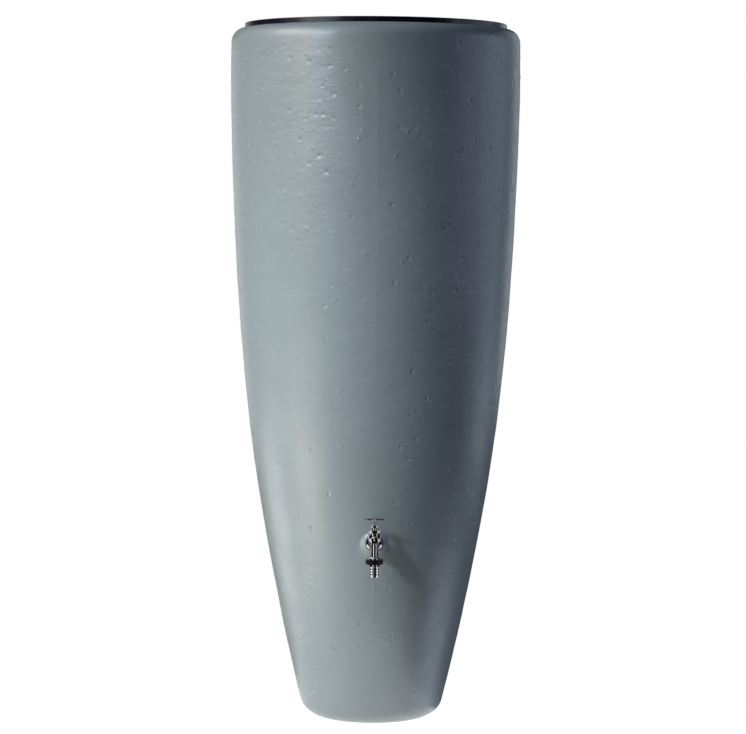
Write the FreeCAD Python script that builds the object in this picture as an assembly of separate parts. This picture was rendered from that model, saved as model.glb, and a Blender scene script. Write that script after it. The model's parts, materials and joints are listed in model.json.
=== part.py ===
import FreeCAD, Part
import math
import os

# Rain barrel with a lift-out planting bowl, a brass outlet tap and a rear inlet for a downpipe hose.
# Frame: millimetres, +Z up, origin on the ground on the barrel's axis, and the tap faces -Y.
# Every piece is written to parts/NAME.step.

V = FreeCAD.Vector
FORWARD = V(0, -1, 0)
UP = V(0, 0, 1)

# Tank: a one-piece moulded shell
TOTAL_HEIGHT = 1500.0
WALL = 5.0
WALL_CURVE = [(37, 153.6), (100, 168.8), (320, 216.0), (600, 262.6), (900, 292.5), (1200, 307.8),
              (1370, 311.8), (1459, 311.2)]  # outside (height, radius) between base and shoulder
BASE_ROUNDING = 47.0  # measured across
SHOULDER_ROUNDING = 25.0
LEDGE_Z = 1488.6
BASE_GROOVE_INNER_R = 42.0
BASE_GROOVE_OUTER_R = 74.0
BASE_GROOVE_DEPTH = 10.0
MOUTH_R = 258.0
NECK_OUTER_R = 263.0
NECK_RISE = 6.5

# Planting bowl that hangs in the tank's mouth
RIM_R = 282.0
RIM_ROUNDING = 1.6
BOWL_WALL = 3.5
BOWL_TOP_R = 254.0
BOWL_BOTTOM_R = 222.0
BOWL_DEPTH = 220.0
BOWL_CORNER = 22.0
RIM_CLEARANCE = 0.4
DRAIN_COUNT = 8
DRAIN_CIRCLE_R = 140.0
DRAIN_HOLE_R = 5.0
DRAIN_STUD_R = 18.0
DRAIN_STUD_RISE = 12.0

# Flat bosses on the wall
TAP_Z = 405.0
TAP_BOSS_FACE = 239.0  # distance of the boss face from the axis
TAP_BOSS_R = 18.5
TAP_BOSS_ROOT_R = 31.0
TAP_POCKET_R = 19.5
TAP_HOLE_R = 13.7
INLET_Z = 1330.0
INLET_BOSS_FACE = 315.0
INLET_BOSS_R = 34.0
INLET_BOSS_ROOT_R = 40.0
INLET_POCKET_R = 30.0
INLET_HOLE_R = 17.2

# Tap: distances a are forward of the boss face, and valve heights are measured from VALVE_Z
VALVE_Z = TAP_Z + 8.0
SEAL = 2.5
SHANK_R = 13.2
SHANK_IN = 21.0
THREAD_PITCH = 1.8
INLET_BORE_R = 6.8
FLANGE_R = 17.2
HEX_AF = 27.0
SPINDLE_A = 36.0
CHAMBER_R = 14.0
CHAMBER_TOP = 14.0
CHAMBER_BOTTOM = -20.0
GASKET = 0.5
SEAT_Z = 3.0
SPOUT_R = 8.2
SPOUT_BORE_R = 5.0
SPOUT_Z = 5.0
SPOUT_BEND = 14.0
SPOUT_BEND_A = 44.0
OUTLET_A = SPOUT_BEND_A + SPOUT_BEND
COLLAR_TOP = -33.0
STUB_TOP = -36.0
STUB_END = -41.0
SPINDLE_R = 4.0
SPINDLE_THREAD_R = 5.2
LIFT_PER_TURN = 2.0
RUNNING_GAP = 0.06
BAR_LENGTH = 42.0
BAR_R = 1.9
BAR_Z = 44.7
BARB_R = 10.3
BARB_ROOT_R = 8.8
BARB_PITCH = 5.7
BARB_COUNT = 4
BARB_TOP = -50.3
TAIL_BORE_R = 6.5
NUT_R = 18.3
NUT_RIBS = 36


def ring(inner, outer, low, high):
    """An upright tube on the Z axis."""
    body = Part.makeCylinder(outer, high - low, V(0, 0, low))
    if inner <= 0:
        return body
    return body.cut(Part.makeCylinder(inner, high - low + 2, V(0, 0, low - 1)))


def turned(profile):
    """Solid of revolution about Z from a closed outline of (radius, height) corners."""
    corners = [V(r, 0, z) for r, z in profile]
    face = Part.Face(Part.makePolygon(corners + corners[:1]))
    return face.revolve(V(0, 0, 0), UP, 360)


def hexagon(across_flats, low, high):
    """Hexagonal prism on Z with its corners chamfered at both ends, as on a turned nut."""
    corner = across_flats / math.sqrt(3)
    points = [V(corner * math.cos(math.radians(60 * i)), corner * math.sin(math.radians(60 * i)), low)
              for i in range(7)]
    prism = Part.Face(Part.makePolygon(points)).extrude(V(0, 0, high - low))
    bevel = corner - across_flats / 2
    cap = turned([(0, low), (corner - bevel, low), (corner, low + bevel / 2),
                  (corner, high - bevel / 2), (corner - bevel, high), (0, high)])
    return prism.common(cap)


def thread_grooves(radius, low, high, pitch):
    """Stack of V grooves to cut along a threaded shaft on Z."""
    depth = 0.45 * pitch
    count = int((high - low) / pitch)
    cuts = [turned([(radius + 1, low + pitch * (i + 0.1)), (radius - depth, low + pitch * (i + 0.5)),
                    (radius + 1, low + pitch * (i + 0.9))]) for i in range(count)]
    return Part.makeCompound(cuts)


def facing_forward(shape, face_distance, height):
    """Moves a shape built along +Z from its boss face so that it points out of the front of the tank."""
    placed = shape.copy()
    placed.rotate(V(0, 0, 0), V(1, 0, 0), 90)
    placed.translate(V(0, -face_distance, height))
    return placed


def facing_back(shape, face_distance, height):
    """The same, for a fitting on the back of the tank."""
    placed = facing_forward(shape, face_distance, 0)
    placed.rotate(V(0, 0, 0), UP, 180)
    placed.translate(V(0, 0, height))
    return placed


def on_spindle(shape):
    """Moves a shape built on Z to the spindle's axis."""
    placed = shape.copy()
    placed.translate(V(0, -(TAP_BOSS_FACE + SPINDLE_A), VALVE_Z))
    return placed


def on_outlet(shape):
    """Moves a shape built on Z to the outlet's axis."""
    placed = shape.copy()
    placed.translate(V(0, -(TAP_BOSS_FACE + OUTLET_A), VALVE_Z))
    return placed


# ---- tank ----

def quarter_round(start, corner, end):
    """Quarter of an ellipse from start to end, tangent to the lines that meet at corner."""
    arc = Part.BSplineCurve()
    arc.buildFromPolesMultsKnots([start, corner, end], [3, 3], [0, 1], False, 2, [1, math.sqrt(0.5), 1])
    return arc.toShape()


def wall_solid(inset):
    """The tank's outer form, or with an inset its inner form, with elliptical base and shoulder."""
    wall = Part.BSplineCurve()
    wall.interpolate([V(r - inset, 0, z) for z, r in WALL_CURVE])
    rounds, flats = [], []
    for parameter, level, across in ((wall.FirstParameter, inset, BASE_ROUNDING - inset),
                                     (wall.LastParameter, LEDGE_Z - inset, SHOULDER_ROUNDING - inset)):
        end = wall.value(parameter)
        slope = wall.tangent(parameter)[0]
        corner = end + slope * ((level - end.z) / slope.z)
        flats.append(corner - V(across, 0, 0))
        rounds.append(quarter_round(flats[-1], corner, end))
    outline = [V(0, 0, inset), flats[0]], [flats[1], V(0, 0, LEDGE_Z - inset)]
    straight = [Part.makeLine(*ends) for ends in outline]
    straight.append(Part.makeLine(V(0, 0, LEDGE_Z - inset), V(0, 0, inset)))
    wire = Part.Wire([straight[0], rounds[0], wall.toShape(), rounds[1], straight[1], straight[2]])
    return Part.Face(wire).revolve(V(0, 0, 0), UP, 360)


def boss(face_r, root_r):
    """Rounded flat pad, built along +Z with its face at 0 and its root inside the wall."""
    depth = 26.0
    edge = 2.5
    pad = turned([(0, 0), (face_r, 0), (root_r, -12), (root_r, -depth), (0, -depth)])
    rim = [e for e in pad.Edges if abs(e.BoundBox.ZMax) < 0.01 and e.BoundBox.XMax > face_r - 1
           and e.Closed]
    return pad.makeFillet(edge, rim)


def make_tank():
    outer = wall_solid(0)
    inner = wall_solid(WALL)
    for place, face_r, root_r, pocket_r, distance, height in (
            (facing_forward, TAP_BOSS_R, TAP_BOSS_ROOT_R, TAP_POCKET_R, TAP_BOSS_FACE, TAP_Z),
            (facing_back, INLET_BOSS_R, INLET_BOSS_ROOT_R, INLET_POCKET_R, INLET_BOSS_FACE, INLET_Z)):
        outer = outer.fuse(place(boss(face_r, root_r), distance, height))
        pocket = turned([(0, -WALL), (pocket_r, -WALL), (pocket_r, -60), (0, -60)])
        inner = inner.fuse(place(pocket, distance, height))
    low, high = BASE_GROOVE_INNER_R, BASE_GROOVE_OUTER_R
    groove = turned([(low, -1), (high, -1), (high, 0), (high - 4, BASE_GROOVE_DEPTH),
                     (low + 4, BASE_GROOVE_DEPTH), (low, 0)])
    ridge_top = BASE_GROOVE_DEPTH + WALL
    ridge = turned([(low - WALL, 0), (high + WALL, 0), (high + WALL, WALL), (high + 1, ridge_top),
                    (low - 1, ridge_top), (low - WALL, WALL)])
    shell = outer.cut(groove).cut(inner.cut(ridge))
    shell = shell.cut(Part.makeCylinder(MOUTH_R, 60, V(0, 0, LEDGE_Z - 30)))
    neck = ring(MOUTH_R, NECK_OUTER_R, LEDGE_Z - WALL, LEDGE_Z + NECK_RISE)
    shell = shell.fuse(neck)
    tap_hole = Part.makeCylinder(TAP_HOLE_R, 60, V(0, 0, -40))
    inlet_hole = Part.makeCylinder(INLET_HOLE_R, 60, V(0, 0, -40))
    shell = shell.cut(facing_forward(tap_hole, TAP_BOSS_FACE, TAP_Z))
    shell = shell.cut(facing_back(inlet_hole, INLET_BOSS_FACE, INLET_Z))
    return shell.removeSplitter()


# ---- planting bowl ----

def make_bowl():
    top = TOTAL_HEIGHT
    floor = top - BOWL_DEPTH
    skirt_end = LEDGE_Z + RIM_CLEARANCE
    under_rim = LEDGE_Z + NECK_RISE
    skirt = 3.0
    outer = turned([(0, floor), (BOWL_BOTTOM_R, floor), (BOWL_TOP_R, under_rim), (RIM_R - skirt, under_rim),
                    (RIM_R - skirt, skirt_end), (RIM_R, skirt_end), (RIM_R, top), (0, top)])
    corner = [e for e in outer.Edges if e.Closed and abs(e.BoundBox.ZMax - floor) < 0.01]
    rim_edge = [e for e in outer.Edges if e.Closed and abs(e.BoundBox.ZMin - top) < 0.01]
    outer = outer.makeFillet(BOWL_CORNER, corner).makeFillet(RIM_ROUNDING, rim_edge)
    inside = turned([(0, floor + BOWL_WALL), (BOWL_BOTTOM_R - BOWL_WALL, floor + BOWL_WALL),
                     (BOWL_TOP_R - BOWL_WALL, top + 0.01), (0, top + 0.01)])
    corner = [e for e in inside.Edges if e.Closed and abs(e.BoundBox.ZMax - floor - BOWL_WALL) < 0.01]
    bowl = outer.cut(inside.makeFillet(BOWL_CORNER - BOWL_WALL, corner))
    lip = [e for e in bowl.Edges if e.Closed and abs(e.BoundBox.ZMin - top) < 0.01
           and e.BoundBox.XMax < BOWL_TOP_R]
    bowl = bowl.makeFillet(2.0, lip)
    for i in range(DRAIN_COUNT):
        angle = 2 * math.pi * i / DRAIN_COUNT
        centre = V(DRAIN_CIRCLE_R * math.cos(angle), DRAIN_CIRCLE_R * math.sin(angle), floor)
        stud = turned([(0, 0), (DRAIN_STUD_R, 0), (DRAIN_STUD_R, BOWL_WALL),
                       (DRAIN_STUD_R - 6, DRAIN_STUD_RISE + BOWL_WALL), (0, DRAIN_STUD_RISE + BOWL_WALL)])
        hollow = turned([(0, -1), (DRAIN_STUD_R - BOWL_WALL, -1), (DRAIN_STUD_R - BOWL_WALL, 0),
                         (DRAIN_STUD_R - 6 - BOWL_WALL, DRAIN_STUD_RISE), (0, DRAIN_STUD_RISE)])
        hole = Part.makeCylinder(DRAIN_HOLE_R, 40, V(0, 0, -1))
        for part in (stud, hollow, hole):
            part.translate(centre)
        bowl = bowl.fuse(stud).cut(hollow).cut(hole)
    return bowl.removeSplitter()


# ---- tap ----

def make_tap_body():
    """Cast body: threaded shank, bell flange, wrench hexagon, valve chamber and bent spout."""
    shank = ring(0, SHANK_R, -SHANK_IN, SEAL).cut(thread_grooves(SHANK_R, -SHANK_IN, -WALL, THREAD_PITCH))
    bell = turned([(0, SEAL), (FLANGE_R - 0.6, SEAL), (FLANGE_R, SEAL + 0.6), (FLANGE_R, SEAL + 2.4),
                   (FLANGE_R - 0.8, SEAL + 3.6), (FLANGE_R - 3, SEAL + 5), (12, SEAL + 6), (0, SEAL + 6)])
    hexagonal = hexagon(HEX_AF, SEAL + 4.5, SEAL + 13)
    neck = turned([(0, SEAL + 12), (11.5, SEAL + 12), (10.2, SEAL + 15), (10.2, SPINDLE_A), (0, SPINDLE_A)])
    inlet = shank.fuse([bell, hexagonal, neck])
    body = facing_forward(inlet, TAP_BOSS_FACE, TAP_Z)
    chamber = turned([(0, CHAMBER_BOTTOM), (6, CHAMBER_BOTTOM), (9.5, CHAMBER_BOTTOM + 2),
                      (11, CHAMBER_BOTTOM + 6), (12, -2), (CHAMBER_R, 5), (CHAMBER_R, CHAMBER_TOP - 1),
                      (CHAMBER_R - 1, CHAMBER_TOP), (0, CHAMBER_TOP)])
    body = body.fuse(on_spindle(chamber)).fuse(spout(SPOUT_R, STUB_TOP))
    collar = turned([(0, COLLAR_TOP + 2), (SPOUT_R, COLLAR_TOP + 2), (12.4, COLLAR_TOP - 1),
                     (12.4, STUB_TOP), (SHANK_R, STUB_TOP), (SHANK_R, STUB_END), (0, STUB_END)])
    body = body.fuse(on_outlet(collar))
    inlet_run = Part.makeCylinder(INLET_BORE_R, SHANK_IN + 1 + SPINDLE_A, V(0, 0, -SHANK_IN - 1))
    waterway = [facing_forward(inlet_run, TAP_BOSS_FACE, TAP_Z),
                on_spindle(ring(0, 6, CHAMBER_BOTTOM + 5.2, SEAT_Z + 1)),
                on_spindle(ring(7.6, 10, SEAT_Z - 1, SEAT_Z + 1)),
                on_spindle(ring(0, 10, SEAT_Z, 10)),
                on_spindle(ring(0, 11.05, 9.5, CHAMBER_TOP + 1)),
                spout(SPOUT_BORE_R, STUB_END - 1)]
    for space in waterway:
        body = body.cut(space)
    return body


def spout(radius, end):
    """Bent tube of the spout: out of the chamber, a quarter turn, then down to end."""
    start = V(0, -(TAP_BOSS_FACE + SPINDLE_A + 7.8), VALVE_Z + SPOUT_Z)
    run_end = V(0, -(TAP_BOSS_FACE + SPOUT_BEND_A), VALVE_Z + SPOUT_Z)
    run = Part.makeCylinder(radius, (run_end - start).Length + 0.01, start, FORWARD)
    section = Part.Face(Part.Wire(Part.makeCircle(radius, run_end, FORWARD)))
    hinge = run_end - V(0, 0, SPOUT_BEND)
    bend = section.revolve(hinge, V(1, 0, 0), 90)
    low = V(0, -(TAP_BOSS_FACE + OUTLET_A), VALVE_Z + end)
    drop = Part.makeCylinder(radius, SPOUT_Z - SPOUT_BEND - end, low)
    return run.fuse([bend, drop])


def make_bonnet():
    seat = CHAMBER_TOP + GASKET
    bonnet = turned([(9, 10), (11, 10), (11, seat), (13.4, seat), (13.4, 16.3), (12.8, 16.8), (9, 16.8),
                     (9, 21), (7.2, 21.5), (7.2, 27.6), (6.8, 28), (5.5, 28), (5.5, 23.8),
                     (SPINDLE_R + RUNNING_GAP, 23.8),
                     (SPINDLE_R + RUNNING_GAP, 22.8), (SPINDLE_THREAD_R + RUNNING_GAP, 22.8),
                     (SPINDLE_THREAD_R + RUNNING_GAP, 13.8), (9, 13.8)])
    flats = hexagon(19, 16.3, 21.4).cut(ring(0, 8, 16, 22))
    return on_spindle(bonnet.fuse(flats).removeSplitter())


def make_gland_nut():
    nut = hexagon(11.5, 28, 32).fuse(ring(0, 5.45, 26, 28.2))
    return on_spindle(nut.cut(ring(0, SPINDLE_R + RUNNING_GAP, 25, 33)).removeSplitter())


def make_jumper():
    return on_spindle(turned([(0, 0.4), (1.5, 0.4), (1.5, 5.5), (8, 5.5), (8, 7.6), (7.6, 8), (2.4, 8),
                              (2.4, 16.1), (2.0, 16.5), (0, 16.5)]))


def make_spindle():
    """Square top for the handle, plain stem, threaded foot with the jumper's socket."""
    stem = turned([(2.5, 8.1), (SPINDLE_THREAD_R - 0.4, 8.1), (SPINDLE_THREAD_R, 8.5),
                   (SPINDLE_THREAD_R, 17.1), (SPINDLE_THREAD_R - 0.4, 17.5), (SPINDLE_R, 17.5),
                   (SPINDLE_R, 38), (0, 38), (0, 17), (2.5, 17)])
    stem = stem.cut(thread_grooves(SPINDLE_THREAD_R, 8.9, 17, LIFT_PER_TURN))
    square = Part.makeBox(5.2, 5.2, 3.8, V(-2.6, -2.6, 38))
    return on_spindle(stem.fuse(square).cut(ring(0, 1.4, 35, 48)))


def make_handle_hub():
    """Turned hub: square socket under, cross hole for the bar and a hole for the screw."""
    hub = turned([(0, 38), (4.9, 38), (5.4, 38.5), (5.4, 39.6), (4.4, 40.4), (4.4, 41.2), (4.9, 42.4),
                  (4.9, 47), (4.2, 48), (0, 48)])
    socket = Part.makeBox(5.3, 5.3, 4.1, V(-2.65, -2.65, 37.9))
    cross_hole = Part.makeCylinder(BAR_R, 20, V(-10, 0, BAR_Z), V(1, 0, 0))
    return on_spindle(hub.cut(socket).cut(cross_hole).cut(ring(0, 1.5, 37, 49)))


def make_handle_bar():
    """Cross bar with swelling ends, pressed through the hub and drilled for the screw."""
    half = BAR_LENGTH / 2
    arm = turned([(0, 0), (BAR_R, 0), (BAR_R, half - 5), (BAR_R + 0.4, half - 4), (BAR_R + 0.4, half - 1.2),
                  (BAR_R - 0.4, half), (0, half)])
    arms = []
    for side in (90, -90):
        arms.append(arm.copy())
        arms[-1].rotate(V(0, 0, 0), V(0, 1, 0), side)
        arms[-1].translate(V(0, 0, BAR_Z))
    return on_spindle(arms[0].fuse(arms[1]).removeSplitter().cut(ring(0, 1.5, 37, 49)))


def make_handle_screw():
    head = turned([(0, 36), (1.35, 36), (1.35, 48), (2.9, 48), (2.9, 48.9), (2.1, 49.9), (0, 50.2)])
    return on_spindle(head.cut(Part.makeBox(7, 0.8, 1, V(-3.5, -0.4, 49.4))))


def make_hose_tail():
    """Flanged nozzle with a stop collar and four barbs."""
    outline = [(TAIL_BORE_R, STUB_END - 1.5), (12.2, STUB_END - 1.5), (12.2, STUB_END - 3),
               (10.6, STUB_END - 3), (10.6, -46.3), (11.8, -46.6), (11.8, -48.4), (11.2, -48.8),
               (9, -48.8), (9, BARB_TOP)]
    for i in range(BARB_COUNT):
        top = BARB_TOP - i * BARB_PITCH
        outline += [(BARB_R, top), (BARB_R, top - 1.2), (BARB_ROOT_R, top - BARB_PITCH)]
    outline += [(TAIL_BORE_R, BARB_TOP - BARB_COUNT * BARB_PITCH)]
    return on_outlet(turned(outline))


def make_union_nut():
    nut = turned([(SHANK_R + 0.05, STUB_TOP - 0.4), (NUT_R - 0.9, STUB_TOP - 0.4), (NUT_R, STUB_TOP - 1.3),
                  (NUT_R, -45.2), (NUT_R - 0.8, -46), (10.8, -46), (10.8, STUB_END - 3.1),
                  (SHANK_R + 0.05, STUB_END - 3.1)])
    grooves = []
    for i in range(NUT_RIBS):
        groove = Part.makeCylinder(0.55, 7.4, V(NUT_R + 0.15, 0, -45.2))
        groove.rotate(V(0, 0, 0), UP, 360.0 * i / NUT_RIBS)
        grooves.append(groove)
    return on_outlet(nut.cut(grooves))


def make_tap():
    face = TAP_BOSS_FACE
    lock_nut = hexagon(32, -WALL - SEAL - 8, -WALL - SEAL).cut(ring(0, SHANK_R + 0.05, -20, 0))
    washer_nut = hexagon(6, 0.8, SEAT_Z).cut(ring(0, 1.55, 0, SEAT_Z + 1))
    return {
        "tap_body": make_tap_body(),
        "tap_outer_seal": facing_forward(ring(SHANK_R + 0.3, 18.6, 0, SEAL), face, TAP_Z),
        "tap_inner_seal": facing_forward(ring(SHANK_R + 0.3, 18.2, -WALL - SEAL, -WALL), face, TAP_Z),
        "tap_lock_nut": facing_forward(lock_nut, face, TAP_Z),
        "bonnet_gasket": on_spindle(ring(11.1, 13.3, CHAMBER_TOP, CHAMBER_TOP + GASKET)),
        "tap_bonnet": make_bonnet(),
        "gland_packing": on_spindle(ring(SPINDLE_R + 0.04, 5.5, 23.8, 26)),
        "gland_nut": make_gland_nut(),
        "valve_washer": on_spindle(ring(1.55, 7.8, SEAT_Z, SEAT_Z + 2.5)),
        "valve_jumper": make_jumper(),
        "valve_washer_nut": on_spindle(washer_nut),
        "tap_spindle": make_spindle(),
        "handle_hub": make_handle_hub(),
        "handle_bar": make_handle_bar(),
        "handle_screw": make_handle_screw(),
        "hose_gasket": on_outlet(ring(TAIL_BORE_R + 0.5, 12.2, STUB_END - 1.5, STUB_END)),
        "union_nut": make_union_nut(),
        "hose_tail": make_hose_tail(),
    }


# ---- rear inlet ----

def make_inlet():
    """Tank connector: flange, barbed spigot for the downpipe hose, seal and inside lock nut."""
    bore, thread_r, tail_r, root_r = 8.0, 16.8, 12.75, 11.3
    outline = [(bore, -24), (thread_r, -24), (thread_r, SEAL), (29, SEAL), (29, SEAL + 3), (27.5, SEAL + 4),
               (root_r, SEAL + 4), (root_r, SEAL + 8)]
    barb_pitch, barbs = 7.5, 3
    for i in range(barbs):
        low = SEAL + 8 + i * barb_pitch
        outline += [(tail_r, low), (tail_r, low + 1.5), (root_r, low + barb_pitch)]
    outline += [(bore, SEAL + 8 + barbs * barb_pitch)]
    spigot = turned(outline).cut(thread_grooves(thread_r, -24, -WALL, 2.2))
    nut = ring(thread_r + 0.05, 24, -WALL - 9, -WALL)
    lugs = [Part.makeBox(6.5, 5, 9, V(22, -2.5, -WALL - 9)) for _ in range(6)]
    for i, lug in enumerate(lugs):
        lug.rotate(V(0, 0, 0), UP, 60 * i)
    nut = nut.fuse(lugs).removeSplitter()
    face = INLET_BOSS_FACE
    return {
        "inlet_spigot": facing_back(spigot, face, INLET_Z),
        "inlet_seal": facing_back(ring(thread_r + 0.2, 28, 0, SEAL), face, INLET_Z),
        "inlet_lock_nut": facing_back(nut, face, INLET_Z),
    }


def main():
    os.makedirs("parts", exist_ok=True)
    pieces = {"tank_shell": make_tank(), "planting_bowl": make_bowl()}
    pieces.update(make_tap())
    pieces.update(make_inlet())
    for name, shape in pieces.items():
        solids = shape.Solids
        print(f"{name}: {len(solids)} solid(s), {shape.Volume / 1000:.2f} cm3, valid {shape.isValid()}")
        shape = solids[0] if len(solids) == 1 else Part.makeCompound(solids)
        shape.exportStep(f"parts/{name}.step")


main()
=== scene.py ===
import json
import math
import random

import bpy
import numpy as np
from mathutils import Matrix, Vector, noise


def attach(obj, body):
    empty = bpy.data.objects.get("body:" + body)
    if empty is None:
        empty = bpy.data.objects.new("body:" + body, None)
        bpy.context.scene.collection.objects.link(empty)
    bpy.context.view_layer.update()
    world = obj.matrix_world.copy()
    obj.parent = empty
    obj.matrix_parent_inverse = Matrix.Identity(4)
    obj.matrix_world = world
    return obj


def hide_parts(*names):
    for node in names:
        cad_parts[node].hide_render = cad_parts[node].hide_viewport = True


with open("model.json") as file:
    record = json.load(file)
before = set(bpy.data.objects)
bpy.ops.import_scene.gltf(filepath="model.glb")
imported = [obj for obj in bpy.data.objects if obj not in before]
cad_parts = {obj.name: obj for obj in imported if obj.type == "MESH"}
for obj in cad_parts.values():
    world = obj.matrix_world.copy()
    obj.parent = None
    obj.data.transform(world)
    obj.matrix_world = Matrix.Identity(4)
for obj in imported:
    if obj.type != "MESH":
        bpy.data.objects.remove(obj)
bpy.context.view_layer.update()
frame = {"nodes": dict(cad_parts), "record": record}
scene = bpy.context.scene

# The rain barrel stands on the floor with its axis on Z. Its tap faces -Y and its inlet +Y. Metres.

# ---- camera: a long lens straight in front, level with the barrel's upper half ----

CAMERA_DISTANCE = 6.3
CAMERA_HEIGHT = 1.099
CAMERA_AZIMUTH = math.radians(-0.9)
CAMERA_PITCH = math.radians(3.0744)
CAMERA_ROLL = math.radians(0.413)
CAMERA_SIDESTEP = -0.0013
CAMERA_LENS = 140.31


def make_camera():
    camera = bpy.data.objects.new("camera", bpy.data.cameras.new("camera"))
    scene.collection.objects.link(camera)
    turn = Matrix.Rotation(CAMERA_AZIMUTH, 3, "Z")
    forward = turn @ Vector((0, math.cos(CAMERA_PITCH), -math.sin(CAMERA_PITCH)))
    level = turn @ Vector((1, 0, 0))
    upright = level.cross(forward)
    right = level * math.cos(CAMERA_ROLL) + upright * math.sin(CAMERA_ROLL)
    up = upright * math.cos(CAMERA_ROLL) - level * math.sin(CAMERA_ROLL)
    pose = Matrix((right, up, -forward)).transposed().to_4x4()
    pose.translation = turn @ Vector((CAMERA_SIDESTEP, -CAMERA_DISTANCE, CAMERA_HEIGHT))
    camera.matrix_world = pose
    camera.data.lens = CAMERA_LENS
    camera.data.clip_start = 0.1
    camera.data.clip_end = 200
    scene.camera = camera


# ---- material helpers ----

class Shader:
    """Builds a node material: each call adds a node and returns the output that the next one takes."""

    def __init__(self, name, colour, roughness, metallic=0.0, ior=1.5):
        self.material = bpy.data.materials.new(name)
        self.material.use_nodes = True
        self.nodes = self.material.node_tree.nodes
        self.links = self.material.node_tree.links
        self.bsdf = self.nodes["Principled BSDF"]
        self.bsdf.inputs["Base Color"].default_value = (*colour, 1)
        self.bsdf.inputs["Roughness"].default_value = roughness
        self.bsdf.inputs["Metallic"].default_value = metallic
        self.bsdf.inputs["IOR"].default_value = ior
        self.point = self.add("ShaderNodeTexCoord").outputs["Object"]

    def add(self, kind, inputs=None, **settings):
        node = self.nodes.new(kind)
        for key, value in settings.items():
            setattr(node, key, value)
        for key, value in (inputs or {}).items():
            if hasattr(value, "is_linked"):
                self.links.new(value, node.inputs[key])
            else:
                node.inputs[key].default_value = value
        return node

    def noise(self, scale, detail=2.0, roughness=0.5, stretch=None, distortion=0.0):
        point = self.point
        if stretch:
            point = self.add("ShaderNodeMapping", {"Vector": point, "Scale": stretch}).outputs[0]
        node = self.add("ShaderNodeTexNoise", {"Vector": point, "Scale": scale, "Detail": detail,
                                               "Roughness": roughness, "Distortion": distortion})
        return node.outputs["Fac"]

    def ramp(self, value, low, high, out_low=0.0, out_high=1.0):
        """Value stretched from low..high to out_low..out_high."""
        node = self.add("ShaderNodeMapRange", {"Value": value, "From Min": low, "From Max": high,
                                               "To Min": out_low, "To Max": out_high})
        return node.outputs[0]

    def colour(self, factor, low, high):
        """Base colour that runs from low to high as factor goes from 0 to 1."""
        node = self.nodes.new("ShaderNodeMix")
        node.data_type = "RGBA"
        self.links.new(factor, node.inputs[0])
        node.inputs[6].default_value = (*low, 1)
        node.inputs[7].default_value = (*high, 1)
        self.links.new(node.outputs[2], self.bsdf.inputs["Base Color"])

    def roughness(self, value):
        self.links.new(value, self.bsdf.inputs["Roughness"])

    def bump(self, *layers):
        """Stacks (height, distance in metres) layers into the shader's normal."""
        normal = None
        for height, distance in layers:
            node = self.add("ShaderNodeBump", {"Height": height, "Distance": distance, "Strength": 1.0})
            if normal:
                self.links.new(normal, node.inputs["Normal"])
            normal = node.outputs[0]
        self.links.new(normal, self.bsdf.inputs["Normal"])


def tank_material():
    s = Shader("tank_plastic", (0.19, 0.222, 0.232), 0.36)
    cloud = s.noise(9, 3, 0.55)
    s.colour(s.ramp(cloud, 0.3, 0.7), (0.183, 0.214, 0.224), (0.197, 0.23, 0.24))
    s.roughness(s.ramp(s.noise(55, 3), 0.3, 0.7, 0.31, 0.41))
    ripple = s.noise(30, 2, 0.5, stretch=(1, 1, 2.2), distortion=0.5)
    hammered = s.noise(120, 2, 0.5, stretch=(1, 1, 1.5))
    grain = s.noise(600, 2, 0.6)
    s.bump((ripple, 0.0009), (hammered, 0.0002), (grain, 0.00005))
    return s.material


def bowl_material():
    s = Shader("bowl_plastic", (0.003, 0.004, 0.012), 0.3, ior=1.38)
    s.roughness(s.ramp(s.noise(40, 3), 0.3, 0.7, 0.22, 0.36))
    s.bump((s.noise(260, 2), 0.00008))
    return s.material


def chrome_material():
    s = Shader("chrome", (0.55, 0.55, 0.56), 0.06, metallic=1.0)
    s.roughness(s.ramp(s.noise(300, 3), 0.35, 0.7, 0.04, 0.11))
    s.bump((s.noise(160, 2), 0.00006))
    return s.material


def black_plastic_material():
    s = Shader("black_plastic", (0.005, 0.005, 0.006), 0.5, ior=1.42)
    s.roughness(s.ramp(s.noise(400, 2), 0.3, 0.7, 0.42, 0.6))
    s.bump((s.noise(900, 2), 0.0001))
    return s.material


def rubber_material():
    s = Shader("rubber", (0.02, 0.02, 0.02), 0.7)
    s.roughness(s.ramp(s.noise(500, 2), 0.3, 0.7, 0.6, 0.8))
    s.bump((s.noise(1500, 2), 0.00015))
    return s.material


def brass_material():
    s = Shader("brass", (0.66, 0.48, 0.2), 0.3, metallic=1.0)
    s.roughness(s.ramp(s.noise(350, 3), 0.3, 0.7, 0.22, 0.4))
    s.bump((s.noise(900, 2), 0.0001))
    return s.material


def steel_material():
    s = Shader("steel", (0.6, 0.6, 0.62), 0.25, metallic=1.0)
    s.roughness(s.ramp(s.noise(600, 3), 0.3, 0.7, 0.18, 0.35))
    s.bump((s.noise(1200, 2), 0.0001))
    return s.material


def fibre_material():
    """Red vulcanised fibre, coloured dark all over."""
    s = Shader("fibre", (0.055, 0.026, 0.02), 0.8)
    s.colour(s.noise(900, 3), (0.04, 0.018, 0.014), (0.075, 0.035, 0.026))
    s.bump((s.noise(1800, 2), 0.0001))
    return s.material


MATERIALS = {
    "tank_plastic": tank_material(), "bowl_plastic": bowl_material(), "chrome": chrome_material(),
    "black_plastic": black_plastic_material(), "rubber": rubber_material(), "brass": brass_material(),
    "steel": steel_material(), "fibre": fibre_material(),
}


def paint_frame():
    """Gives every CAD node the material of its slot."""
    for part in frame["record"]["subparts"]:
        mesh = frame["nodes"][part["node"]].data
        mesh.materials.clear()
        mesh.materials.append(MATERIALS[part["material_slot"]])


# ---- tank wall ----

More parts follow.
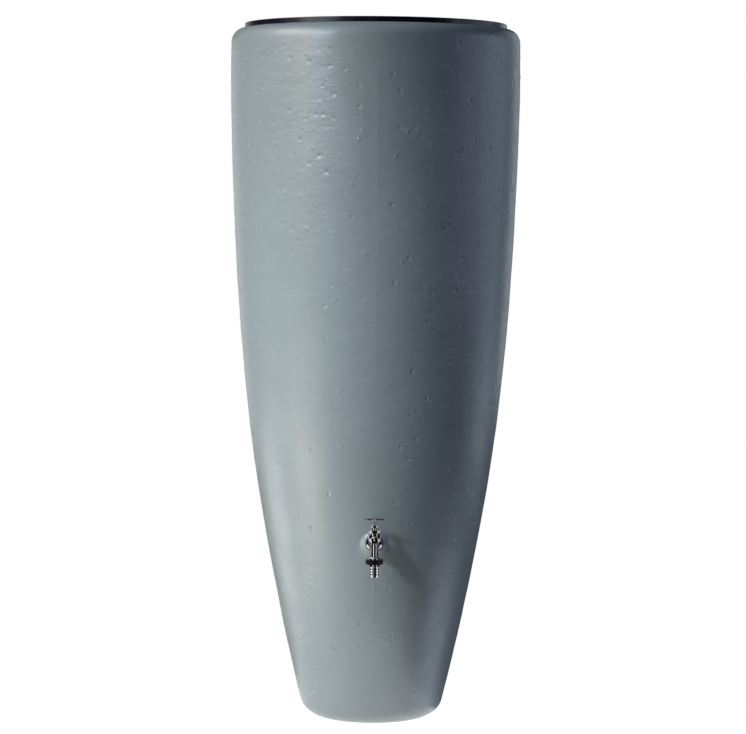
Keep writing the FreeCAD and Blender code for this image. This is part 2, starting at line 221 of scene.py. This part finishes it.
WALL = 0.005
WALL_CURVE = [(0.037, 0.1536), (0.1, 0.1688), (0.32, 0.216), (0.6, 0.2626), (0.9, 0.2925), (1.2, 0.3078),
              (1.37, 0.3118), (1.459, 0.3112)]  # outside (height, radius) between base and shoulder
BASE_ROUNDING = 0.047  # measured across
SHOULDER_ROUNDING = 0.025
LEDGE_Z = 1.4886  # flat round the mouth that the bowl's rim rests over
NECK_TOP = 1.4951
NECK_OUTER_R = 0.263
MOUTH_R = 0.258
GROOVE_INNER_R = 0.042
GROOVE_OUTER_R = 0.074
GROOVE_DEPTH = 0.010
TAP_Z = 0.405
INLET_Z = 1.330
EDGE = 0.001  # bevel of the moulded edges
COLUMNS = 252  # round the outside
INSIDE_SHARE = 3  # outside columns for each one of the inside and the base
ROW = 0.925 / 110  # 110 rows from the middle of one pad to the middle of the other
SEAM_COLUMNS = (0, COLUMNS // 2)
SEAM_DRAW = 0.72  # share of a column by which the ones beside a seam are drawn in to it
SHARP_DEGREES = 50


FLANK_DROP = 0.012  # from a pad's face to where its flank meets the wall
FACE_BLEND = 0.0016
WALL_BLEND = 0.0022


class Pad:
    """Round flat pad on the wall with a hole. side is -1 at the front and 1 at the back. half_columns and
    half_rows are the half size of the block of wall cells that it stands in for."""

    def __init__(self, side, height, face, face_r, root_r, pocket_r, hole_r, half_columns, half_rows):
        self.side, self.height, self.face = side, height, face
        self.face_r, self.root_r, self.pocket_r, self.hole_r = face_r, root_r, pocket_r, hole_r
        self.half_columns, self.half_rows = half_columns, half_rows
        self.column = SEAM_COLUMNS[side > 0]

    def place(self, across, up, forward):
        """Points from sideways and upward offsets on the pad and distances from the barrel's axis."""
        forward = np.broadcast_to(forward, np.shape(across))
        return np.column_stack([-self.side * across, self.side * forward, self.height + up])

    def surface(self, across, up):
        """Distance of the pad, its flank and the wall round it from the barrel's axis."""
        rho = np.hypot(across, up)
        flank = self.face - (rho - self.face_r) / (self.root_r - self.face_r) * FLANK_DROP
        pad = soft_max(-self.face, -flank, FACE_BLEND) * -1
        return soft_max(pad, round_wall(across, self.height + up, 0), WALL_BLEND)


def soft_max(a, b, blend):
    """Larger of two values with a rounded change-over."""
    near = np.clip(1 - np.abs(a - b) / (2 * blend), 0, 1)
    return np.maximum(a, b) + near ** 2 * blend / 2


def spline_through(points):
    """Smooth curve through (height, radius) points, as a function of height."""
    z = np.array([p[0] for p in points])
    r = np.array([p[1] for p in points])
    h = np.diff(z)
    n = len(z)
    system = np.zeros((n, n))
    right = np.zeros(n)
    system[0, 0], system[0, 1] = 1, -1
    system[-1, -1], system[-1, -2] = 1, -1
    for i in range(1, n - 1):
        system[i, i - 1:i + 2] = h[i - 1], 2 * (h[i - 1] + h[i]), h[i]
        right[i] = 6 * ((r[i + 1] - r[i]) / h[i] - (r[i] - r[i - 1]) / h[i - 1])
    bend = np.linalg.solve(system, right)

    def radius(height):
        height = np.asarray(height, dtype=float)
        k = np.clip(np.searchsorted(z, height) - 1, 0, n - 2)
        a, b, step = z[k + 1] - height, height - z[k], h[k]
        return ((bend[k] * a ** 3 + bend[k + 1] * b ** 3) / (6 * step)
                + (r[k] / step - bend[k] * step / 6) * a + (r[k + 1] / step - bend[k + 1] * step / 6) * b)

    return radius


wall_radius = spline_through(WALL_CURVE)


def round_wall(across, height, inset):
    """Forward distance of the round wall at a sideways offset."""
    return np.sqrt((wall_radius(height) - inset) ** 2 - across ** 2)


def quarter_round(top, inset, steps):
    """(radius, height) points of the elliptical base or shoulder, from the flat to the wall."""
    end_z = WALL_CURVE[-1][0] if top else WALL_CURVE[0][0]
    flat_z = LEDGE_Z - inset if top else inset
    across = (SHOULDER_ROUNDING if top else BASE_ROUNDING) - inset
    end_r = float(wall_radius(end_z)) - inset
    nearby = -0.001 if top else 0.001
    slope = float(wall_radius(end_z + nearby) - wall_radius(end_z)) / nearby
    corner_r = end_r + slope * (flat_z - end_z)
    t = np.linspace(0, 1, steps + 1)
    weights = np.array([(1 - t) ** 2, math.sqrt(2) * t * (1 - t), t ** 2])
    weights /= weights.sum(axis=0)
    return np.column_stack([weights.T @ (corner_r - across, corner_r, end_r),
                            weights.T @ (flat_z, flat_z, end_z)])


def wall_rows(step, inset):
    """(radius, height) points up the wall, in rows that pass through the middle of both pads."""
    low, high = WALL_CURVE[0][0] + 0.4 * step, WALL_CURVE[-1][0] - 0.4 * step
    heights = [TAP_Z + step * i for i in range(-200, 200)]
    heights = np.array([z for z in heights if low < z < high])
    return np.column_stack([wall_radius(heights) - inset, heights])


def column_angles(count):
    """Angles of the columns from the front, with the ones beside each moulding seam drawn in to it."""
    angles = np.linspace(0, 2 * math.pi, count, endpoint=False) - math.pi / 2
    if count == COLUMNS:
        step = 2 * math.pi / count
        for seam in SEAM_COLUMNS:
            angles[seam + 1] -= SEAM_DRAW * step
            angles[seam - 1] += SEAM_DRAW * step
    return angles


def lathe(profile, count):
    """Points of a form of revolution, as an array of (row, column, xyz)."""
    angles = column_angles(count)
    profile = np.asarray(profile)
    ring = np.column_stack([np.cos(angles), np.sin(angles)])
    points = np.zeros((len(profile), count, 3))
    points[:, :, :2] = profile[:, None, :1] * ring[None]
    points[:, :, 2] = profile[:, 1:]
    return points


def smooth_step(value, low, high):
    """0 below low, 1 above high and a smooth rise between them."""
    t = np.clip((value - low) / (high - low), 0, 1)
    return t * t * (3 - 2 * t)


WAVE_RISE, RIPPLE_RISE, FINE_RISE, SEAM_RISE = 0.0007, 0.00026, 0.00009, 0.00016
SEAM_HALF_WIDTH = 0.0018
RELIEF_STARTS, RELIEF_ENDS = (0.005, 0.06), (1.462, 1.482)  # heights over which it grows and dies out
PAD_CLEARANCE = (0.05, 0.085)  # distances from a pad's middle over which it grows


def relief(point):
    """Unevenness of the moulded wall: long waves, short ripples that lie level, and the seams."""
    x, y, z = point
    fade = smooth_step(z, *RELIEF_STARTS) * (1 - smooth_step(z, *RELIEF_ENDS))
    for pad in PADS:
        if y * pad.side > 0:
            fade *= smooth_step(math.hypot(x, z - pad.height), *PAD_CLEARANCE)
    if fade <= 0:
        return 0.0
    wave = noise.noise(Vector((9 * x, 9 * y, 13 * z)))
    ripple = noise.noise(Vector((20 * x, 20 * y + 7, 60 * z)))
    fine = noise.noise(Vector((55 * x, 55 * y + 3, 110 * z)))
    seam = 1 - smooth_step(abs(x), 0.0, SEAM_HALF_WIDTH)
    seam *= max(0.0, 0.35 + noise.noise(Vector((0, y, 7 * z))))
    return fade * (WAVE_RISE * wave + RIPPLE_RISE * ripple + FINE_RISE * fine + SEAM_RISE * seam)


class MeshBuilder:
    """Collects points and faces, and drops points that no face uses."""

    def __init__(self):
        self.points = []
        self.count = 0
        self.faces = []

    def add(self, points):
        """Adds an array of points and returns their numbers in the same arrangement."""
        points = np.asarray(points, dtype=float)
        first = self.count
        self.count += points.size // 3
        self.points.append(points.reshape(-1, 3))
        return np.arange(first, self.count).reshape(points.shape[:-1])

    def bridge(self, low, high, flip=False):
        """Faces between two closed loops, where high has 1, 2 or 3 points for each one of low."""
        each = len(high) // len(low)
        half = each // 2
        for k in range(len(low)):
            a, b = low[k], low[(k + 1) % len(low)]
            run = [high[(each * k + i) % len(high)] for i in range(each + 1)]
            if each == 1:
                faces = [(a, b, run[1], run[0])]
            else:
                faces = [(a, run[i + 1], run[i]) for i in range(half)]
                faces += [(a, b, run[half])]
                faces += [(b, run[i + 1], run[i]) for i in range(half, each)]
            self.faces += [f[::-1] if flip else f for f in faces]

    def grid(self, rows, skip=()):
        """Faces between rows of equal closed loops, apart from the (column, row) cells in skip."""
        count = len(rows[0])
        for j in range(len(rows) - 1):
            for k in range(count):
                if (k, j) not in skip:
                    after = (k + 1) % count
                    self.faces.append((rows[j][k], rows[j][after], rows[j + 1][after], rows[j + 1][k]))

    def fan(self, loop, centre, flip=False):
        """Faces from a closed loop to one point in its middle."""
        for k in range(len(loop)):
            face = (loop[k], loop[(k + 1) % len(loop)], centre)
            self.faces.append(face[::-1] if flip else face)

    def make(self, name, slot):
        points = np.concatenate(self.points)
        used = np.zeros(len(points), dtype=bool)
        for face in self.faces:
            for i in face:
                used[i] = True
        place = np.cumsum(used) - 1
        mesh = bpy.data.meshes.new(name)
        mesh.from_pydata(points[used].tolist(), [], [[int(place[i]) for i in f] for f in self.faces])
        mesh.validate()
        mesh.shade_smooth()
        mesh.set_sharp_from_angle(angle=math.radians(SHARP_DEGREES))
        mesh.materials.append(MATERIALS[slot])
        piece = bpy.data.objects.new(name, mesh)
        scene.collection.objects.link(piece)
        return piece


def block_loop(rows, column, row, half_columns, half_rows):
    """Closed loop of a block's outline, anticlockwise seen from outside, from its lower left corner."""
    count = len(rows[0])
    west, east = column - half_columns, column + half_columns
    south, north = row - half_rows, row + half_rows
    loop = [(k, south) for k in range(west, east)] + [(east, j) for j in range(south, north)]
    loop += [(k, north) for k in range(east, west, -1)] + [(west, j) for j in range(north, south, -1)]
    return [rows[j][k % count] for k, j in loop]


def block_cells(count, column, row, half_columns, half_rows):
    """(column, row) cells of a block, which the grid leaves out."""
    return {(k % count, j) for k in range(column - half_columns, column + half_columns)
            for j in range(row - half_rows, row + half_rows)}


def loop_angles(points, pad, count):
    """Angles round the pad of an outline's points, with evenly spaced ones between them."""
    across = -pad.side * points[:, 0]
    corners = np.unwrap(np.arctan2(points[:, 2] - pad.height, across))
    corners = np.append(corners, corners[0] + 2 * math.pi)
    each = count // len(points)
    return np.interp(np.arange(count) / each, np.arange(len(corners)), corners)


ROOT_RINGS = (0.005, 0.003, 0.0012, -0.0006, -0.0024)  # offsets from the flank's root
FLANK_RINGS = (0.6, 0.4, 0.22, 0.1, 0)  # shares of the flank
FACE_RINGS = (0.0008, 0.0018)  # inward from the face's edge
HOLE_BEVEL = 0.0008


def pad_outside(builder, pad, outline):
    """Pad surface from the wall in to the hole's edge; returns the ring at the hole's edge."""
    points = np.concatenate(builder.points)[outline]
    angles = loop_angles(points, pad, 2 * len(outline))
    flank = pad.root_r - pad.face_r
    radii = [pad.root_r + offset for offset in ROOT_RINGS]
    radii += [pad.face_r + flank * share for share in FLANK_RINGS]
    radii += [pad.face_r - offset for offset in FACE_RINGS]
    radii += [(pad.face_r + pad.hole_r) / 2, pad.hole_r + HOLE_BEVEL]
    previous = outline
    for rho in radii:
        across, up = rho * np.cos(angles), rho * np.sin(angles)
        ring = builder.add(pad.place(across, up, pad.surface(across, up)))
        builder.bridge(previous, ring)
        previous = ring
    across, up = pad.hole_r * np.cos(angles), pad.hole_r * np.sin(angles)
    edge = builder.add(pad.place(across, up, pad.face - HOLE_BEVEL))
    builder.bridge(previous, edge)
    return edge


def pad_inside(builder, pad, outline, hole_edge):
    """Pocket behind the pad, from the inner wall to the hole, which it joins to the outside."""
    points = np.concatenate(builder.points)[outline]
    angles = loop_angles(points, pad, 3 * len(outline))
    across, up = pad.pocket_r * np.cos(angles), pad.pocket_r * np.sin(angles)
    mouth = builder.add(pad.place(across, up, round_wall(across, pad.height + up, WALL)))
    depth = pad.face - WALL
    floor = builder.add(pad.place(across, up, depth))
    back = builder.add(pad.place(pad.hole_r * np.cos(angles), pad.hole_r * np.sin(angles), depth))
    builder.bridge(outline, mouth, flip=True)
    builder.bridge(mouth, floor, flip=True)
    builder.bridge(floor, back, flip=True)
    builder.bridge(back, hole_edge, flip=True)


PADS = [Pad(side=-1, height=TAP_Z, face=0.239, face_r=0.0185, root_r=0.031, pocket_r=0.0195, hole_r=0.0137,
            half_columns=7, half_rows=5),
        Pad(side=1, height=INLET_Z, face=0.315, face_r=0.034, root_r=0.040, pocket_r=0.030, hole_r=0.0172,
            half_columns=6, half_rows=6)]

BLEMISHES = 800
BLEMISH_SEED = 11
BLEMISH_BAND = (0.06, 1.45)  # heights
CROWDED_BAND = (0.7, 1.4)  # heights over which they get denser
SPARSE_SHARE = 0.35
BLEMISH_SMALLEST, BLEMISH_SPREAD = 0.0012, 0.0019  # smallest radius, and what the largest has more
BLEMISH_POINTS = 16
FOOT_RADIUS, WAIST_RADIUS = 1.35, 0.65  # of a blemish's two rings, in radii
MOST_STRETCH = 1.6
SEAM_CLEARANCE = 3  # columns
PIMPLE_SHARE = 0.3


def add_blemishes(builder, rows, profile, taken):
    """Small pits and pimples of the moulded skin, each in a block of two by two cells of the wall."""
    chance = random.Random(BLEMISH_SEED)
    angles = column_angles(COLUMNS)
    made = 0
    while made < BLEMISHES:
        column, row = chance.randrange(COLUMNS), chance.randrange(len(rows))
        height = profile[row][1]
        if not BLEMISH_BAND[0] < height < BLEMISH_BAND[1]:
            continue
        if chance.random() > SPARSE_SHARE + (1 - SPARSE_SHARE) * smooth_step(height, *CROWDED_BAND):
            continue
        cells = block_cells(COLUMNS, column, row, 1, 1)
        near_seam = any(min((column - seam) % COLUMNS, (seam - column) % COLUMNS) < SEAM_CLEARANCE
                        for seam in SEAM_COLUMNS)
        if cells & taken or near_seam:
            continue
        taken |= cells
        made += 1
        lean, stretch = chance.uniform(0, math.pi), chance.uniform(1.0, MOST_STRETCH)
        room = 0.9 * min(ROW, 2 * math.pi * profile[row][0] / COLUMNS) / (FOOT_RADIUS * stretch)
        size = min(room, BLEMISH_SMALLEST + BLEMISH_SPREAD * chance.random() ** 2)
        depth = size * chance.uniform(0.32, 0.6) * (-1 if chance.random() > PIMPLE_SHARE else 0.8)
        along = np.array([math.cos(lean), math.sin(lean)])
        turns = np.linspace(0, 2 * math.pi, BLEMISH_POINTS, endpoint=False) - 0.75 * math.pi
        circle = np.column_stack([np.cos(turns), np.sin(turns)])
        circle += (stretch - 1) * (circle @ along)[:, None] * along
        previous = block_loop(rows, column, row, 1, 1)
        for spread, rise in ((FOOT_RADIUS, 0.0), (WAIST_RADIUS, depth * 0.6), (0.0, depth)):
            offsets = circle * size * spread if spread else np.zeros((1, 2))
            z = height + offsets[:, 1]
            theta = angles[column] + offsets[:, 0] / profile[row][0]
            r = wall_radius(z)
            bare = np.column_stack([r * np.cos(theta), r * np.sin(theta), z])
            r = r + rise + np.array([relief(p) for p in bare])
            ring = builder.add(np.column_stack([r * np.cos(theta), r * np.sin(theta), z]))
            if spread:
                builder.bridge(previous, ring)
                previous = ring
            else:
                builder.fan(previous, ring[0])


def base_profile():
    """(radius, height) points of the underside, from the middle over the moulded groove to the foot ring."""
    low, high = GROOVE_INNER_R, GROOVE_OUTER_R
    return [(low / 2, 0), (low - 2 * EDGE, 0), (low, 0.0015), (low + 0.004, GROOVE_DEPTH - EDGE),
            (low + 0.006, GROOVE_DEPTH), (high - 0.006, GROOVE_DEPTH), (high - 0.004, GROOVE_DEPTH - EDGE),
            (high, 0.0015), (high + 2 * EDGE, 0)]


def outside_profile():
    """(radius, height) points from the foot ring to the top of the neck."""
    foot = quarter_round(False, 0, 12)
    shoulder = quarter_round(True, 0, 10)[::-1]
    ledge = [(NECK_OUTER_R + 0.0035, LEDGE_Z), (NECK_OUTER_R + EDGE, LEDGE_Z + 0.0004),
             (NECK_OUTER_R, LEDGE_Z + 2 * EDGE), (NECK_OUTER_R, NECK_TOP - EDGE),
             (NECK_OUTER_R - EDGE, NECK_TOP)]
    return np.concatenate([[(0.09, 0)], foot, wall_rows(ROW, 0), shoulder, ledge])


def inside_profile():
    """(radius, height) points from the neck down to the ridge over the groove in the floor."""
    low, high = GROOVE_INNER_R, GROOVE_OUTER_R
    neck = [(MOUTH_R + EDGE, NECK_TOP), (MOUTH_R, NECK_TOP - EDGE), (MOUTH_R, LEDGE_Z - WALL)]
    ridge = [(high + WALL, WALL), (high + EDGE, GROOVE_DEPTH + WALL), (low - EDGE, GROOVE_DEPTH + WALL),
             (low - WALL, WALL)]
    return np.concatenate([neck, quarter_round(True, WALL, 6), wall_rows(2 * ROW, WALL)[::-1],
                           quarter_round(False, WALL, 8)[::-1], ridge])


def make_tank():
    """One closed mesh with the CAD shell's form, and with the relief and blemishes of its moulded skin."""
    builder = MeshBuilder()
    inner_count = COLUMNS // INSIDE_SHARE

    base = builder.add(lathe(base_profile(), inner_count))
    centre = builder.add([[0, 0, 0]])[0]
    builder.fan(base[0], centre, flip=True)
    builder.grid(base)

    profile = outside_profile()
    points = lathe(profile, COLUMNS)
    for row in points:
        for point in row:
            point[:2] *= 1 + relief(point) / math.hypot(point[0], point[1])
    rows = builder.add(points)
    builder.bridge(base[-1], rows[0])

    inside = inside_profile()
    inner = builder.add(lathe(inside, inner_count))
    builder.bridge(inner[0], rows[-1], flip=True)
    builder.fan(inner[-1], builder.add([[0, 0, WALL]])[0])

    taken, taken_inside = set(), set()
    for pad in PADS:
        row = int(np.argmin(np.abs(profile[:, 1] - pad.height)))
        row_inside = int(np.argmin(np.abs(inside[:, 1] - pad.height)))
        column_inside = pad.column // INSIDE_SHARE
        taken |= block_cells(COLUMNS, pad.column, row, pad.half_columns, pad.half_rows)
        edge = pad_outside(builder, pad, block_loop(rows, pad.column, row, pad.half_columns, pad.half_rows))
        # rows inside run downwards, so the block's outline is turned over to run the same way
        loop = block_loop(inner[::-1], column_inside, len(inside) - 1 - row_inside, 2, 2)
        taken_inside |= block_cells(inner_count, column_inside, row_inside, 2, 2)
        pad_inside(builder, pad, loop, edge)
    add_blemishes(builder, rows, profile, taken)
    builder.grid(rows, taken)
    builder.grid(inner, taken_inside)
    tank = builder.make("tank_wall", "tank_plastic")
    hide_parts("tank_shell")
    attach(tank, "tank")


# ---- scene ----

FLOOR_RADIUS = 0.56
FLOOR_SIDES = 96
FLOOR_CENTRE = (-0.32, -0.3)  # towards the main light, so that it throws more light back at that side
FLOOR_Z = -0.0005
FLOOR_GLOW = 1.2


def make_floor():
    """Pale floor that reads as white, as wide as the light that it should throw back at the base needs."""
    mesh = bpy.data.meshes.new("floor")
    turns = np.linspace(0, 2 * math.pi, FLOOR_SIDES, endpoint=False)
    points = np.column_stack([np.cos(turns), np.sin(turns), np.zeros(FLOOR_SIDES)]) * FLOOR_RADIUS
    mesh.from_pydata(points.tolist(), [], [list(range(FLOOR_SIDES))])
    shader = Shader("floor", (0.1, 0.1, 0.1), 0.8)
    shader.bsdf.inputs["Emission Color"].default_value = (1, 1, 1, 1)
    shader.bsdf.inputs["Emission Strength"].default_value = FLOOR_GLOW
    mesh.materials.append(shader.material)
    floor = bpy.data.objects.new("floor", mesh)
    floor.location = (*FLOOR_CENTRE, FLOOR_Z)
    scene.collection.objects.link(floor)


def softbox(name, azimuth, elevation, distance, size, aim, power, lights_only, spread=180):
    """Area light that faces the barrel's axis at the height aim. Azimuth 0 is the front and 90 the right,
    size is (width, height), power is (red, green, blue) in watts, lights_only is what it falls on and
    spread is the angle of its beam."""
    light = bpy.data.lights.new(name, "AREA")
    light.shape = "RECTANGLE"
    light.size, light.size_y = size
    light.spread = math.radians(spread)
    light.energy = max(power)
    light.color = [p / light.energy for p in power]
    lamp = bpy.data.objects.new(name, light)
    scene.collection.objects.link(lamp)
    a, e = math.radians(azimuth), math.radians(elevation)
    away = Vector((math.sin(a) * math.cos(e), -math.cos(a) * math.cos(e), math.sin(e)))
    lamp.rotation_mode = "QUATERNION"
    lamp.rotation_quaternion = away.to_track_quat("Z", "Y")
    lamp.location = Vector((0, 0, aim)) + away * distance
    lamp.visible_camera = False
    lamp.light_linking.receiver_collection = lights_only


def light_group(name, members):
    """Collection that a light can be limited to."""
    group = bpy.data.collections.new(name)
    for member in members:
        group.objects.link(member)
    return group


STRIP, TALL, PANEL, LOW = (0.35, 1.6), (0.6, 1.8), (1.1, 1.5), (1.2, 0.5)
UNDER, RIGHT_UNDER, SLIM, WIDE, SMALL = (1.2, 0.7), (1.1, 0.5), (0.6, 2.2), (1.1, 2.2), (0.3, 0.3)
KEY_BEAM = 45

# name, azimuth, elevation, distance, size, aim, power
BARREL_LIGHTS = [
    ("key_tall", -45, 33, 3.0, TALL, 1.0, (25.2, 30.4, 40.0)),
    ("key_strip", -58, 14, 3.0, STRIP, 1.2, (18.0, 15.6, 9.0)),
    ("key_high", -75, 35, 3.0, PANEL, 1.0, (52.6, 48.6, 45.9)),
    ("key_under", -65, -12, 2.2, UNDER, 0.3, (16.2, 14.6, 11.2)),
    ("left_under", -110, -12, 2.2, UNDER, 0.3, (9.0, 8.4, 8.4)),
    ("left_back", -150, 5, 3.0, PANEL, 0.7, (5.1, 4.9, 5.4)),
    ("right_front", 75, 12, 3.0, WIDE, 0.8, (7.2, 7.7, 11.2)),
    ("right_side", 95, 14, 3.0, SLIM, 0.8, (5.4, 6.9, 8.0)),
    ("right_edge", 112, 12, 3.0, SLIM, 0.8, (4.8, 5.7, 7.0)),
    ("right_back", 145, 12, 3.0, WIDE, 0.8, (6.1, 7.0, 7.4)),
    ("right_foot", 110, 0, 2.2, LOW, 0.27, (2.1, 2.4, 2.7)),
    ("right_under", 90, -20, 1.6, RIGHT_UNDER, 0.12, (3.0, 3.3, 4.1)),
]
FITTING_LIGHTS = [
    ("chrome_left", -30, 0, 3.0, (0.6, 2.4), 0.5, (10.0, 10.0, 10.0)),
    ("chrome_right", 42, 0, 3.0, (0.45, 2.4), 0.5, (6.6, 6.6, 6.6)),
    ("chrome_left_side", -112, 5, 3.0, PANEL, 0.5, (5.2, 5.2, 5.2)),
    ("chrome_right_side", 118, 5, 3.0, PANEL, 0.5, (4.0, 4.0, 4.0)),
    ("chrome_under_left", -60, -35, 0.7, (0.5, 0.3), 0.5, (0.9, 0.9, 0.9)),
    ("chrome_under_right", 60, -35, 0.7, (0.5, 0.3), 0.5, (0.8, 0.8, 0.8)),
    ("chrome_top", -20, 62, 3.0, PANEL, 0.5, (5.0, 5.0, 5.0)),
]
FITTING_SLOTS = ("chrome", "brass", "steel", "black_plastic")


def make_lights():
    """Softboxes for the barrel, and dimmer ones that the tap's chrome and black nut mirror."""
    fittings = [frame["nodes"][part["node"]] for part in frame["record"]["subparts"]
                if part["material_slot"] in FITTING_SLOTS]
    others = [o for o in scene.objects if o.type == "MESH" and o not in fittings]
    barrel, bright = light_group("lit_barrel", others), light_group("lit_fittings", fittings)
    scene.objects["floor"].light_linking.receiver_collection = barrel
    # the key's narrow beam throws the tap's shadow on the wall
    softbox("key_tap", -42, 33, 3.0, SMALL, 0.4, (3.54, 4.0, 4.46), barrel, KEY_BEAM)
    for row in BARREL_LIGHTS:
        softbox(*row, barrel)
    for row in FITTING_LIGHTS:
        softbox(*row, bright)


def make_world():
    """White where the camera sees it and black for everything else, so that only the softboxes light."""
    world = bpy.data.worlds.new("studio")
    scene.world = world
    world.use_nodes = True
    nodes, links = world.node_tree.nodes, world.node_tree.links
    seen = nodes.new("ShaderNodeBackground")
    seen.inputs["Color"].default_value = (1, 1, 1, 1)
    path = nodes.new("ShaderNodeLightPath")
    mix = nodes.new("ShaderNodeMixShader")
    unlit = nodes["Background"]
    unlit.inputs["Color"].default_value = (0, 0, 0, 1)
    links.new(path.outputs["Is Camera Ray"], mix.inputs[0])
    links.new(unlit.outputs[0], mix.inputs[1])
    links.new(seen.outputs[0], mix.inputs[2])
    links.new(mix.outputs[0], nodes["World Output"].inputs["Surface"])
    scene.view_settings.view_transform = "Standard"


paint_frame()
make_tank()
make_floor()
make_lights()
make_world()
make_camera()
